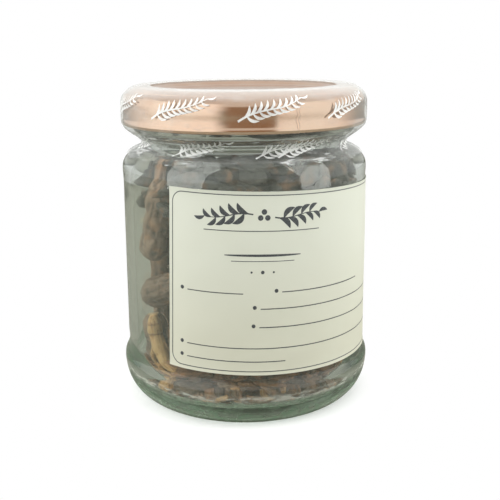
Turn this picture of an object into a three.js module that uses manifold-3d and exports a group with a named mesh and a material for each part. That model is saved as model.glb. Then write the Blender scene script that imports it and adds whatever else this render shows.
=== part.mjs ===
// A closed glass jar of dried ginseng root, in millimetres, +Z up, standing on z = 0 with its axis on Z.
// The front, where the label starts at the left, faces -Y. The pieces are the moulded glass, the label round
// it, the twist-off metal lid with its sealing ring, the clear shrink band over lid and neck, and the roots.
import * as THREE from "three";
import { mergeVertices } from "three/addons/utils/BufferGeometryUtils.js";
import Module from "manifold-3d";

const wasm = await Module();
wasm.setup();

// Driving dimensions of the jar, a round 280 ml one with a 70 mm twist-off mouth.
const facets = 36; // flats round every turned piece
const bodyRadius = 36.4;
const wall = 2.6;
const floorTop = 5.6; // inside floor of the thick glass base
const footRadius = 30.1; // outer edge of the ring that the jar stands on
const lowerBead = { radius: 37.7, z: 10.8 };
const upperBead = { radius: 36.55, z: 68.85 };
const neck = { radius: 30.1, z: 76.75 };
const finish = { radius: 33.0, low: 80.35, top: 91.1 }; // the mouth's straight outer wall
const mouthRadius = 30.6;
const clearance = 0.28; // between pieces that touch on the real jar

// The lid, its sealing ring and the lugs that grip the glass threads.
const lid = {
  radius: 35.85,
  curl: 36.1,
  bottom: 81.8,
  rimTop: 92.6,
  sheet: 0.5,
  panelRadius: 24,
  panelTop: 91.5,
};
const seal = { inner: 30.9, outer: 32.95, low: 91.38, top: 91.74 };
const lugs = { count: 4, reach: 34.0, low: 82.75, height: 1.1, degrees: 13 };
const lidTurnDegrees = 3; // how far the lid is screwed on past the start of the threads
const threads = { count: 4, radius: 34.45, low: 84.9, rise: 1.6, height: 1.3, degrees: 58 };

// The shrink band and the paper label.
const band = { sheet: 0.3, holeRadius: 29.2 };
const label = {
  sheet: 0.3,
  height: 50.8,
  length: 101.6,
  bottom: 16.5, // at the front; the label climbs to its left
  startDegrees: -33,
  slope: -0.03, // the tangent of the angle that the label is turned by on the glass
  columns: 16,
};

// The roots. Each kind gives how many there are, their length and thickness, and how coarse their mesh is.
const kinds = {
  whole_root: { count: 6, length: [46, 57], radius: [4.7, 5.6], forks: 2, sides: 8, steps: 10, upright: 0.8 },
  root_piece: { count: 7, length: [27, 40], radius: [3.9, 5.2], forks: 1, sides: 8, steps: 8, upright: 0.35 },
  cut_piece: { count: 15, length: [8, 14], radius: [2.8, 4.2], forks: 0, sides: 8, steps: 3, upright: 0 },
  rootlet: { count: 18, length: [24, 42], radius: [1.5, 2.2], forks: 1, sides: 6, steps: 6, upright: 0.3 },
};
const forkSteps = 4;
const heap = {
  top: 71.4, // the heap's highest point below the neck
  wallGap: 0.8,
  leftLimit: -29, // the glass is clear down the jar's left side
  between: 0.3, // least gap between two roots
  outwardPull: 0.55, // how much a place near the glass counts against a low one
  drop: 0.4, // how far a shake lowers a root, as a share of its size
  tilt: 0.06, // how far a shake of one millimetre turns a root, in radians
  tries: 1500,
  settleSteps: 900,
  seed: 20,
};
const fullTurn = 2 * Math.PI;

// A repeatable stream of numbers from 0 to 1.
function randomFrom(seed) {
  let state = seed >>> 0;
  return () => {
    state = (state + 0x6d2b79f5) >>> 0;
    let mixed = Math.imul(state ^ (state >>> 15), 1 | state);
    mixed = (mixed + Math.imul(mixed ^ (mixed >>> 7), 61 | mixed)) ^ mixed;
    return ((mixed ^ (mixed >>> 14)) >>> 0) / 4294967296;
  };
}

const between = (random, [low, high]) => low + (high - low) * random();
const radians = THREE.MathUtils.degToRad;

// Joining and cutting: a closed geometry becomes a solid, and a solid becomes a geometry again.
function solidOf(geometry) {
  const plain = geometry.clone();
  plain.deleteAttribute("normal");
  plain.deleteAttribute("uv");
  const merged = mergeVertices(plain, 1e-4);
  const vertProperties = new Float32Array(merged.attributes.position.array);
  const triVerts = new Uint32Array(merged.index.array);
  return new wasm.Manifold(new wasm.Mesh({ numProp: 3, vertProperties, triVerts }));
}

function geometryOf(solid) {
  const mesh = solid.getMesh();
  const geometry = new THREE.BufferGeometry();
  geometry.setAttribute("position", new THREE.BufferAttribute(mesh.vertProperties, 3));
  geometry.setIndex(new THREE.BufferAttribute(mesh.triVerts, 1));
  return geometry;
}

// A turned piece: its section is a list of [radius, height], closed on the axis or on itself.
function turned(section) {
  const points = section.map(([radius, z]) => new THREE.Vector2(radius, z));
  return new THREE.LatheGeometry(points, facets).rotateX(Math.PI / 2);
}

// Points along a quarter-round or any other arc in a section, from one angle to another in degrees.
function arc(centre, radius, fromDegrees, toDegrees, steps) {
  return Array.from({ length: steps + 1 }, (_, i) => {
    const angle = radians(fromDegrees + ((toDegrees - fromDegrees) * i) / steps);
    return [centre[0] + radius * Math.cos(angle), centre[1] + radius * Math.sin(angle)];
  });
}

// The radius of a section at a height, read between its points.
function radiusAt(section, z) {
  for (let i = 1; i < section.length; i++) {
    const [r0, z0] = section[i - 1];
    const [r1, z1] = section[i];
    if (z >= Math.min(z0, z1) && z <= Math.max(z0, z1) && z0 !== z1) {
      return r0 + ((r1 - r0) * (z - z0)) / (z1 - z0);
    }
  }
  return section[z < section[0][1] ? 0 : section.length - 1][0];
}

// The outside of the glass, from the foot up to the mouth.
const heelDegrees = [-75, 0];
const heelSteps = 5;
const heel = Array.from({ length: heelSteps + 1 }, (_, i) => {
  const angle = radians(THREE.MathUtils.lerp(...heelDegrees, i / heelSteps));
  const width = lowerBead.radius - footRadius;
  return [footRadius + width * Math.cos(angle), lowerBead.z * (1 + Math.sin(angle))];
});
const glassOutside = [
  [footRadius, 0],
  ...heel,
  [lowerBead.radius - 0.12, lowerBead.z + 1.0],
  [36.95, 13.0],
  [bodyRadius + 0.05, 14.6],
  [bodyRadius, 38],
  [bodyRadius, 65.6],
  [bodyRadius + 0.06, 67.2],
  [upperBead.radius, upperBead.z],
  [36.35, 70.65],
  [35.4, 72.35],
  [33.9, 73.65],
  [31.2, 74.75],
  [30.3, 75.65],
  [neck.radius, neck.z],
  [30.5, 78.05],
  [32.1, 79.35],
  [finish.radius, finish.low],
  [finish.radius, finish.top - 1],
];

// The inside of the glass, from the floor up to the mouth.
const glassInside = [
  [30.4, floorTop],
  [32.8, floorTop + 0.9],
  [bodyRadius - wall, floorTop + 3.2],
  [bodyRadius - wall, 67.0],
  [33.1, 70.65],
  [30.9, 73.25],
  [28.5, 75.05],
  [28.1, 77.65],
  [29.8, 80.45],
  [mouthRadius, 83.1],
  [mouthRadius, finish.top - 0.8],
];

// A short bar that runs round the axis, for a glass thread or a lid lug. Its section is width by height.
function barRound({ inner, outer, low, height, rise, fromDegrees, degrees, steps }) {
  const middle = (inner + outer) / 2;
  const path = new THREE.CatmullRomCurve3(
    Array.from({ length: steps + 1 }, (_, i) => {
      const angle = radians(fromDegrees + (degrees * i) / steps);
      const z = low + height / 2 + (rise * i) / steps;
      return new THREE.Vector3(middle * Math.sin(angle), -middle * Math.cos(angle), z);
    }),
  );
  const half = [(outer - inner) / 2, height / 2];
  const section = new THREE.Shape();
  section.moveTo(-half[1], -half[0]);
  section.lineTo(half[1], -half[0]);
  section.lineTo(half[1], half[0]);
  section.lineTo(-half[1], half[0]);
  section.closePath();
  return new THREE.ExtrudeGeometry(section, { extrudePath: path, steps });
}

function glassJar() {
  const punt = [
    [0, 2.0],
    [19, 1.5],
    [25.6, 0.9],
    [27.6, 0],
  ];
  const rim = arc([31.8, finish.top - 1], 1.2, 20, 160, 3);
  const inside = [...glassInside].reverse();
  const section = [...punt, ...glassOutside, ...rim, ...inside, [18, floorTop - 0.3], [0, floorTop - 0.4]];
  let body = solidOf(turned(section));
  for (let i = 0; i < threads.count; i++) {
    const ridge = barRound({
      inner: finish.radius - 0.8,
      outer: threads.radius,
      low: threads.low,
      height: threads.height,
      rise: threads.rise,
      fromDegrees: (360 / threads.count) * i,
      degrees: threads.degrees,
      steps: 6,
    });
    body = body.add(solidOf(ridge));
  }
  return geometryOf(body);
}

// The lid's outside, from the panel's middle out over the stepped shoulder and down to the curl.
const lidOutside = [
  [0, lid.panelTop],
  [lid.panelRadius, lid.panelTop],
  [26.2, 92.35],
  [28.2, lid.rimTop],
  [32.0, lid.rimTop],
  [32.9, 92.15],
  [33.3, 91.55],
  [34.3, 91.25],
  [35.2, 90.45],
  [lid.radius, 89.0],
  [lid.radius, 83.95],
  [lid.curl, 83.15],
  [lid.curl, 82.25],
  [lid.curl - 0.35, lid.bottom],
];

function metalLid() {
  const curlInside = [
    [34.95, lid.bottom],
    [34.6, 82.25],
    [34.6, 83.25],
    [34.95, 83.75],
  ];
  const skirt = lid.radius - lid.sheet;
  const inside = [
    [skirt, 84.3],
    [skirt, 88.9],
    [34.85, 90.15],
    [34.1, 90.8],
    [33.75, 91.05],
    [33.75, 91.8],
    [33.3, lid.rimTop - lid.sheet],
    [28.3, lid.rimTop - lid.sheet],
    [26.4, 91.85],
    [lid.panelRadius + 0.2, lid.panelTop - lid.sheet],
    [0, lid.panelTop - lid.sheet],
  ];
  let cap = solidOf(turned([...lidOutside, ...curlInside, ...inside].reverse()));
  for (let i = 0; i < lugs.count; i++) {
    const lug = barRound({
      inner: lugs.reach,
      outer: lid.radius - 0.2,
      low: lugs.low,
      height: lugs.height,
      rise: 0,
      fromDegrees: (360 / lugs.count) * i + threads.degrees / 2,
      degrees: lugs.degrees,
      steps: 2,
    });
    cap = cap.add(solidOf(lug));
  }
  return geometryOf(cap);
}

function sealingRing() {
  return turned([
    [seal.inner, seal.low],
    [seal.outer, seal.low],
    [seal.outer, seal.top],
    [seal.inner, seal.top],
    [seal.inner, seal.low],
  ]);
}

// The band's outer line: over the lid's rim, down its skirt, in under the curl and out on the shoulder.
const bandOutside = [
  [band.holeRadius, 93.3],
  [31.8, 93.26],
  [33.3, 92.8],
  [34.75, 91.8],
  [35.85, 90.7],
  [36.55, 89.2],
  [36.72, 87.2],
  [36.75, 82.45],
  [36.35, 81.45],
  [34.9, 80.35],
  [33.75, 79.25],
  [31.9, 78.05],
  [30.85, 76.85],
  [31.0, 75.95],
  [31.9, 75.25],
  [34.4, 74.25],
  [35.1, 73.65],
];

// Moves every point of an open line sideways, to its right as it runs.
function offset(line, distance) {
  return line.map(([x, y], i) => {
    const [x0, y0] = line[Math.max(0, i - 1)];
    const [x1, y1] = line[Math.min(line.length - 1, i + 1)];
    const length = Math.hypot(x1 - x0, y1 - y0);
    return [x + ((y1 - y0) / length) * distance, y - ((x1 - x0) / length) * distance];
  });
}

function shrinkBand() {
  const inner = offset(bandOutside, band.sheet);
  const section = [...bandOutside, ...inner.reverse(), bandOutside[0]];
  return turned(section.reverse());
}

// The label: a sheet bent round the glass, a little lower at its right end than at its left.
function paperLabel() {
  const rows = 5;
  const { columns } = label;
  const sweep = label.length / (bodyRadius + clearance);
  const geometry = new THREE.BoxGeometry(1, 1, 1, columns, rows, 1);
  const place = geometry.attributes.position;
  for (let i = 0; i < place.count; i++) {
    const along = place.getX(i) + 0.5;
    const up = place.getY(i) + 0.5;
    const lean = (label.slope * label.height * (1 - up)) / bodyRadius;
    const angle = radians(label.startDegrees) + sweep * along + lean;
    const z = label.bottom + label.height * up + label.slope * bodyRadius * angle;
    const onGlass = Math.max(radiusAt(glassOutside, z), bodyRadius) + clearance;
    const radius = onGlass + label.sheet * (0.5 + place.getZ(i));
    place.setXYZ(i, radius * Math.sin(angle), -radius * Math.cos(angle), z);
  }
  return geometry;
}

// One limb of a root: a turned taper bent along a spine, with shallow rings and lobes and two flat ends.
function limbGeometry({ spine, radius, bump }, sides, steps) {
  const rings = Array.from({ length: steps + 1 }, (_, i) => new THREE.Vector2(1, i / steps));
  const profile = [new THREE.Vector2(0, 0), ...rings, new THREE.Vector2(0, 1)];
  const geometry = new THREE.LatheGeometry(profile, sides);
  const place = geometry.attributes.position;
  const around = spine.computeFrenetFrames(steps, false);
  for (let i = 0; i < place.count; i++) {
    const t = place.getY(i);
    const step = Math.round(t * steps);
    const [x, y] = [place.getX(i), place.getZ(i)];
    const size = Math.hypot(x, y) > 0.5 ? radius(t) * (1 + bump(t, Math.atan2(y, x))) : 0;
    const point = spine.getPointAt(t);
    point.addScaledVector(around.normals[step], x * size);
    point.addScaledVector(around.binormals[step], -y * size);
    place.setXYZ(i, point.x, point.y, point.z);
  }
  return geometry;
}

// How thick each kind is along its length, from 0 at the head to 1 at the tip.
const tapers = {
  whole_root: (t) => {
    const head = 0.5 + 0.14 * Math.cos(t * 75);
    const body = 1 - 0.62 * Math.max(0, t - 0.3);
    return THREE.MathUtils.lerp(head, body, THREE.MathUtils.smoothstep(t, 0.1, 0.26)) * tipRound(t, 0.06);
  },
  root_piece: (t) => (1 - 0.45 * t) * tipRound(t, 0.1),
  cut_piece: (t) => 1 - 0.12 * t,
  rootlet: (t) => (1 - 0.6 * t) * tipRound(t, 0.08),
};
const tipRound = (t, share) => Math.sqrt(Math.min(1, Math.min(t, 1 - t) / share + 0.25));

function bumpFrom(random, depth) {
  const phases = [random() * fullTurn, random() * fullTurn, random() * fullTurn];
  const rings = 3 + random() * 4;
  return (t, angle) =>
    depth *
    (0.5 * Math.sin(fullTurn * rings * t + phases[0]) +
      0.3 * Math.sin(2 * angle + phases[1] + 5 * t) +
      0.2 * Math.sin(3 * angle + phases[2] - 7 * t));
}

// The limbs of one root, lying along local Z round its own middle: the main limb first, then its forks.
function growRoot(kindName, random) {
  const kind = kinds[kindName];
  const length = between(random, kind.length);
  const thick = between(random, kind.radius);
  const bow = length * 0.09;
  const wander = () => (random() - 0.5) * 2 * bow;
  const spine = new THREE.CatmullRomCurve3(
    [-0.5, -0.2, 0.15, 0.5].map((share) => new THREE.Vector3(wander(), wander(), share * length)),
  );
  const taper = tapers[kindName];
  const main = { spine, radius: (t) => thick * taper(t), bump: bumpFrom(random, 0.14), length };
  const limbs = [main];
  for (let i = 0; i < kind.forks; i++) {
    limbs.push(growFork(main, thick, random, i));
  }
  return limbs;
}

// A leg that leaves the main limb low down and turns away along it.
function growFork(main, thick, random, index) {
  const leave = 0.45 + 0.25 * random();
  const start = main.spine.getPointAt(leave);
  const along = main.spine.getTangentAt(leave);
  const turn = random() * fullTurn + index * 2.4;
  const side = new THREE.Vector3(Math.cos(turn), Math.sin(turn), 0);
  side.addScaledVector(along, -side.dot(along)).normalize();
  const reach = main.length * (0.28 + 0.2 * random());
  const spread = thick * (1.4 + 0.9 * random());
  const spine = new THREE.CatmullRomCurve3([
    start.clone(),
    start.clone().addScaledVector(along, reach * 0.4).addScaledVector(side, spread * 0.75),
    start.clone().addScaledVector(along, reach).addScaledVector(side, spread * (0.9 + 0.5 * random())),
  ]);
  const root = Math.min(thick * 0.55, main.radius(leave) * 0.8);
  const radius = (t) => root * (1 - 0.55 * t) * tipRound(t, 0.12);
  return { spine, radius, bump: bumpFrom(random, 0.1), length: reach };
}

// Balls that hold a root, which the heap uses to keep roots apart.
function ballsOf(limbs) {
  const balls = [];
  for (const limb of limbs) {
    const count = Math.max(3, Math.ceil(limb.length / 2.6));
    for (let i = 0; i <= count; i++) {
      const t = i / count;
      balls.push({ centre: limb.spine.getPointAt(t), radius: limb.radius(t) * 1.13 });
    }
  }
  return balls;
}

// True where a ball stays inside the glass and the heap.
function insideJar(centre, radius) {
  const outward = Math.hypot(centre.x, centre.y);
  if (centre.z - radius < floorTop + 0.3 || centre.z + radius > heap.top) return false;
  if (centre.x - radius < heap.leftLimit) return false;
  return [-0.75, 0, 0.75].every((share) => {
    const reach = radius * Math.sqrt(1 - share * share);
    return outward + reach < radiusAt(glassInside, centre.z + share * radius) - heap.wallGap;
  });
}

// Whether a root in a place stays in the jar and clear of the roots already there.
function fits(balls, place, standing) {
  const centres = balls.map(({ centre }) => centre.clone().applyMatrix4(place));
  for (let i = 0; i < balls.length; i++) {
    if (!insideJar(centres[i], balls[i].radius)) return false;
    for (const other of standing) {
      const least = balls[i].radius + other.radius + heap.between;
      if (centres[i].distanceToSquared(other.centre) < least * least) return false;
    }
  }
  return true;
}

function poseOf({ position, turn }) {
  return new THREE.Matrix4().compose(position, turn, new THREE.Vector3(1, 1, 1));
}

// A random place in the jar: upright roots stand within a lean of the axis, the others lie any way.
function randomPose(upright, random) {
  const heading = random() * fullTurn;
  const far = 30 * Math.sqrt(random());
  const lean = random() < upright ? random() * 0.55 : Math.acos(2 * random() - 1);
  const flip = random() < 0.35 ? Math.PI : 0;
  const euler = new THREE.Euler(lean + flip + Math.PI, 0, random() * fullTurn, "ZXY");
  const turn = new THREE.Quaternion().setFromEuler(euler);
  const z = floorTop + (heap.top - floorTop) * random();
  return { position: new THREE.Vector3(far * Math.sin(heading), -far * Math.cos(heading), z), turn };
}

function nudged(pose, size, random) {
  const jitter = () => (random() - 0.5) * 2 * size;
  const turn = new THREE.Quaternion().setFromEuler(
    new THREE.Euler(jitter() * heap.tilt, jitter() * heap.tilt, jitter() * heap.tilt),
  );
  return {
    position: pose.position.clone().add(new THREE.Vector3(jitter(), jitter(), jitter() - size * heap.drop)),
    turn: turn.multiply(pose.turn),
  };
}

// How far a root is from rest: low down and near the glass is best.
const unrest = ({ position }) => position.z - heap.outwardPull * Math.hypot(position.x, position.y);

// Finds a root's place: the best of many random ones, then shaken down until it lies on the others.
function settle(balls, upright, standing, random) {
  let best = null;
  for (let i = 0; i < heap.tries; i++) {
    const pose = randomPose(upright, random);
    if (best && unrest(pose) >= unrest(best)) continue;
    if (fits(balls, poseOf(pose), standing)) best = pose;
  }
  if (!best) return null;
  for (let i = 0; i < heap.settleSteps; i++) {
    const size = i < heap.settleSteps / 2 ? 1.6 : 0.5;
    const pose = nudged(best, size, random);
    if (unrest(pose) < unrest(best) && fits(balls, poseOf(pose), standing)) best = pose;
  }
  return poseOf(best);
}

// Roots that lie against the glass at the left and low down at the front, each on a spine of points in the
// jar's own frame. Each fork is a spine of its own.
const frontRoots = [
  {
    name: "whole_root_front",
    finish: "root_dark",
    spine: [
      [-22.6, -13.6, 72.4],
      [-22.8, -14.8, 66],
      [-23.6, -14.6, 58.6],
      [-25.2, -12.8, 51],
      [-26.8, -10.2, 42.6],
    ],
    radius: (t) => 4.5 * tipRound(t, 0.07) * (t < 0.26 ? 0.62 + 0.16 * Math.cos(t * 60) : 1.02 - 0.2 * t),
    forks: [],
    sides: 9,
    steps: 14,
  },
  {
    name: "root_piece_front",
    finish: "root_red",
    spine: [[-27.0, -8.0, 31.0], [-24.4, -14.2, 33.6], [-18.6, -20.4, 37.2], [-10.6, -24.8, 39]],
    radius: (t) => 4.7 * (1 - 0.2 * t) * tipRound(t, 0.12),
    forks: [],
    sides: 9,
    steps: 8,
  },
  {
    name: "rootlet_front",
    finish: "root_tan",
    spine: [[-26.2, -16.6, 27.2], [-25.6, -17.2, 21.5], [-22.6, -19.6, 13.4], [-18.8, -22.6, 7.4]],
    radius: (t) => 1.9 * (1 - 0.3 * t) * tipRound(t, 0.09),
    forks: [
      [[-25.0, -17.6, 19.4], [-26.4, -16.2, 15.0], [-26.2, -16.0, 11.6]],
      [[-22.8, -19.4, 14.2], [-19.2, -21.8, 12.4], [-15.8, -23.8, 7.4]],
    ],
    sides: 8,
    steps: 10,
  },
  {
    name: "root_piece_back_left",
    finish: "root_dark",
    spine: [[-27.8, -7.4, 24.4], [-27.2, -8.0, 17], [-25.0, -9.2, 10.4]],
    radius: (t) => 3.6 * (1 - 0.15 * t) * tipRound(t, 0.12),
    forks: [],
    sides: 8,
    steps: 6,
  },
  {
    name: "root_piece_low_left",
    finish: "root_red",
    spine: [[-19.6, -13.4, 24.4], [-19.0, -15.0, 18], [-17.4, -16.6, 11.0]],
    radius: (t) => 3.7 * (1 - 0.1 * t) * tipRound(t, 0.12),
    forks: [],
    sides: 8,
    steps: 6,
  },
  {
    name: "root_piece_low_front",
    finish: "root_dark",
    spine: [[-12.6, -25.2, 9.8], [-5, -27.9, 9.7], [3, -28.2, 10], [9.5, -26.4, 10.8]],
    radius: (t) => 3.6 * (1 - 0.15 * t) * tipRound(t, 0.14),
    forks: [],
    sides: 8,
    steps: 7,
  },
  {
    name: "root_piece_low_right",
    finish: "root_red",
    spine: [[17, -22.0, 9.8], [22.6, -16.6, 9.8], [26.2, -9.6, 10.4]],
    radius: (t) => 3.7 * (1 - 0.12 * t) * tipRound(t, 0.14),
    forks: [],
    sides: 8,
    steps: 6,
  },
  {
    name: "whole_root_left",
    finish: "root_dark",
    spine: [[-22.4, 1.4, 68.2], [-25.0, 1.8, 52], [-25.8, 1.6, 38], [-25.4, 1.6, 24], [-23.2, 1.4, 10]],
    radius: (t) => 4.5 * tipRound(t, 0.06) * (t < 0.2 ? 0.72 : 1.06 - 0.3 * t),
    forks: [],
    sides: 8,
    steps: 12,
  },
];

const frontForkRadius = 1.25;

function curveThrough(points) {
  return new THREE.CatmullRomCurve3(points.map((p) => new THREE.Vector3(...p)));
}

function frontLimbs(root, random) {
  const spine = curveThrough(root.spine);
  const main = { spine, radius: root.radius, bump: bumpFrom(random, 0.12), length: spine.getLength() };
  const forks = root.forks.map((points) => {
    const forkSpine = curveThrough(points);
    const radius = (t) => frontForkRadius * (1 - 0.45 * t) * tipRound(t, 0.15);
    return { spine: forkSpine, radius, bump: bumpFrom(random, 0.1), length: forkSpine.getLength() };
  });
  return [main, ...forks];
}

// The limbs of one root, joined in one solid.
function joinLimbs(limbs, sides, steps) {
  const [main, ...forks] = limbs;
  let body = solidOf(limbGeometry(main, sides, steps));
  for (const fork of forks) {
    body = body.add(solidOf(limbGeometry(fork, Math.max(5, sides - 2), forkSteps)));
  }
  return geometryOf(body);
}

// Finishes: the glass and film are clear, the lid is copper-coloured, and the roots come in three browns.
const finishes = {
  glass: { color: 0xa9b5aa, roughness: 0.08, metalness: 0, transparent: true, opacity: 0.4 },
  copper: { color: 0xc98a62, roughness: 0.28, metalness: 1 },
  sealing: { color: 0xe6ddce, roughness: 0.7, metalness: 0 },
  film: { color: 0xe8e9e4, roughness: 0.2, metalness: 0, transparent: true, opacity: 0.3 },
  paper: { color: 0xdcdcc6, roughness: 0.8, metalness: 0 },
  root_dark: { color: 0x5b4030, roughness: 0.65, metalness: 0 },
  root_red: { color: 0x7a4f36, roughness: 0.6, metalness: 0 },
  root_tan: { color: 0xb08a4e, roughness: 0.8, metalness: 0 },
};
const materials = Object.fromEntries(
  Object.entries(finishes).map(([name, look]) => [name, new THREE.MeshStandardMaterial(look)]),
);

const jar = new THREE.Group();

function addPiece(name, finishName, geometry, place = null) {
  const mesh = new THREE.Mesh(geometry, materials[finishName]);
  mesh.name = name;
  if (place) {
    place.decompose(mesh.position, mesh.quaternion, mesh.scale);
  }
  jar.add(mesh);
}

function addFrontRoots(standing) {
  const random = randomFrom(heap.seed + 1);
  for (const root of frontRoots) {
    const limbs = frontLimbs(root, random);
    standing.push(...ballsOf(limbs));
    addPiece(root.name, root.finish, joinLimbs(limbs, root.sides, root.steps));
  }
}

// Each kind has its usual colours, which its copies take in turn.
const kindFinishes = {
  whole_root: ["root_dark", "root_red", "root_dark"],
  root_piece: ["root_red", "root_dark"],
  cut_piece: ["root_tan", "root_red", "root_dark"],
  rootlet: ["root_tan", "root_red", "root_dark"],
};

function addHeap(standing) {
  for (const [kindName, kind] of Object.entries(kinds)) {
    const random = randomFrom(heap.seed + kindName.length * 7);
    let made = 0;
    for (let attempt = 0; made < kind.count && attempt < kind.count * 3; attempt++) {
      const limbs = growRoot(kindName, random);
      const balls = ballsOf(limbs);
      const place = settle(balls, kind.upright, standing, random);
      if (!place) continue;
      for (const { centre, radius } of balls) {
        standing.push({ centre: centre.clone().applyMatrix4(place), radius });
      }
      const finishName = kindFinishes[kindName][made % kindFinishes[kindName].length];
      made += 1;
      const name = `${kindName}_${String(made).padStart(2, "0")}`;
      addPiece(name, finishName, joinLimbs(limbs, kind.sides, kind.steps), place);
    }
  }
}

addPiece("jar_glass", "glass", glassJar());
addPiece("lid", "copper", metalLid().rotateZ(radians(lidTurnDegrees)));
addPiece("lid_seal", "sealing", sealingRing());
addPiece("shrink_band", "film", shrinkBand());
addPiece("label", "paper", paperLabel());
const standing = [];
addFrontRoots(standing);
addHeap(standing);

export default jar;
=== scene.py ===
import itertools
import math

import bmesh
import bpy
import numpy as np
from mathutils import Matrix, Vector
from mathutils.bvhtree import BVHTree


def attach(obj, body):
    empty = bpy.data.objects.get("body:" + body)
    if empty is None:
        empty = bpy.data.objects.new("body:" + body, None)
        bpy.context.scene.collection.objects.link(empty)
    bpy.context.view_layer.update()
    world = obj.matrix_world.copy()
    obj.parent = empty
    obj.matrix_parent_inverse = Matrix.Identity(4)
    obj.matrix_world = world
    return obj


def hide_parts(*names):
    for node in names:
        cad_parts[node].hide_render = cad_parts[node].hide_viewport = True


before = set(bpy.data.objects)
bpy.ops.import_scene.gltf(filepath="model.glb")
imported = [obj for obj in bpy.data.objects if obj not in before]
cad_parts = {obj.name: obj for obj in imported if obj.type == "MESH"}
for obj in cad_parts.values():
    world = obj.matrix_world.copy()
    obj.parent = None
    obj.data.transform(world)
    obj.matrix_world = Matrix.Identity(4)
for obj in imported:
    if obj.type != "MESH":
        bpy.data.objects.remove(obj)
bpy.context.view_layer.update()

# A closed jar of dried ginseng root. All lengths below are in millimetres unless a name says otherwise.
mm = 0.001
print("jar: the packed model is in place,", len(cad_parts), "pieces")


# Helpers that write shaders
class Wire:  # one shader socket, so that finishes can be written as plain sums
    def __init__(self, finish, socket):
        self.finish = finish
        self.socket = socket

    def maths(self, operation, *others):
        return self.finish.node("ShaderNodeMath", {"operation": operation}, dict(enumerate((self,) + others)))

    def flipped(self, operation, other):
        return self.finish.node("ShaderNodeMath", {"operation": operation}, {0: other, 1: self})

    def __add__(self, other):
        return self.maths("ADD", other)

    def __radd__(self, other):
        return self.flipped("ADD", other)

    def __sub__(self, other):
        return self.maths("SUBTRACT", other)

    def __rsub__(self, other):
        return self.flipped("SUBTRACT", other)

    def __mul__(self, other):
        return self.maths("MULTIPLY", other)

    def __rmul__(self, other):
        return self.flipped("MULTIPLY", other)

    def __pow__(self, other):
        return self.maths("POWER", other)

    def clamped(self):
        return self.maths("MAXIMUM", 0.0).maths("MINIMUM", 1.0)

    def above(self, low, high):  # 0 under low, 1 over high, smooth between
        settings = {"interpolation_type": "SMOOTHSTEP"}
        sockets = {"Value": self, "From Min": low, "From Max": high}
        return self.finish.node("ShaderNodeMapRange", settings, sockets)


class Finish:  # one material and its nodes
    def __init__(self, name):
        self.material = bpy.data.materials.new(name)
        self.material.use_nodes = True
        self.tree = self.material.node_tree
        self.tree.nodes.clear()

    def node(self, kind, settings=None, sockets=None, output=0):
        made = self.tree.nodes.new(kind)
        for name, value in (settings or {}).items():
            setattr(made, name, value)
        for name, value in (sockets or {}).items():
            if isinstance(value, Wire):
                self.tree.links.new(value.socket, made.inputs[name])
            elif isinstance(value, tuple) and len(value) == 3 and made.inputs[name].type == "RGBA":
                made.inputs[name].default_value = (*value, 1)
            else:
                made.inputs[name].default_value = value
        return Wire(self, made.outputs[output] if made.outputs else None)

    def mix(self, factor, first, second):  # two colours
        return self.node("ShaderNodeMix", {"data_type": "RGBA"}, {0: factor, 6: first, 7: second}, output=2)

    def blend(self, factor, first, second):  # two shaders
        return self.node("ShaderNodeMixShader", None, {0: factor, 1: first, 2: second})

    def place(self):  # the jar's own frame, in metres
        return self.node("ShaderNodeTexCoord", output=3)

    def height(self):  # above the floor, in metres
        return self.node("ShaderNodeSeparateXYZ", None, {0: self.place()}, output=2)

    def noise(self, size, detail=3.0, roughness=0.55, stretch=None, at=None):
        spot = at or self.place()
        if stretch:
            spot = self.node("ShaderNodeVectorMath", {"operation": "MULTIPLY"}, {0: spot, 1: stretch})
        sockets = {"Vector": spot, "Scale": 1 / (size * mm), "Detail": detail, "Roughness": roughness}
        return self.node("ShaderNodeTexNoise", None, sockets)

    def written(self, name):  # a number kept on the mesh
        return self.node("ShaderNodeAttribute", {"attribute_name": name}, output=2)

    def bump(self, height, depth, strength=1.0):
        sockets = {"Strength": strength, "Distance": depth * mm, "Height": height}
        return self.node("ShaderNodeBump", None, sockets)

    def output(self, surface, volume=None):
        sockets = {"Surface": surface}
        if volume:
            sockets["Volume"] = volume
        self.node("ShaderNodeOutputMaterial", None, sockets)
        return self.material


# Helpers that make meshes
def grain(points, seed=0):  # smooth noise, about -1 to 1, at rows of x, y, z
    cell = np.floor(points).astype(np.int64)
    part = points - cell
    ease = part ** 3 * (part * (part * 6 - 15) + 10)
    total = np.zeros(len(points))
    for corner in itertools.product((0, 1), repeat=3):
        at = cell + corner
        code = at[:, 0] * 374761393 + at[:, 1] * 668265263 + at[:, 2] * 1440662683 + seed * 974634777
        code = (code ^ (code >> 13)) * 1274126177 & 0xFFFFFFFF
        code = (code ^ (code >> 16)) & 0xFFFFFFFF
        turn = (code & 1023) * (2 * math.pi / 1024)
        lift = ((code >> 10) & 1023) / 511.5 - 1
        flat = np.sqrt(1 - lift ** 2)
        away = part - corner
        slope = away[:, 0] * np.cos(turn) * flat + away[:, 1] * np.sin(turn) * flat + away[:, 2] * lift
        total += slope * np.prod(np.where(corner, ease, 1 - ease), axis=1)
    return total * 1.7


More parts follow.
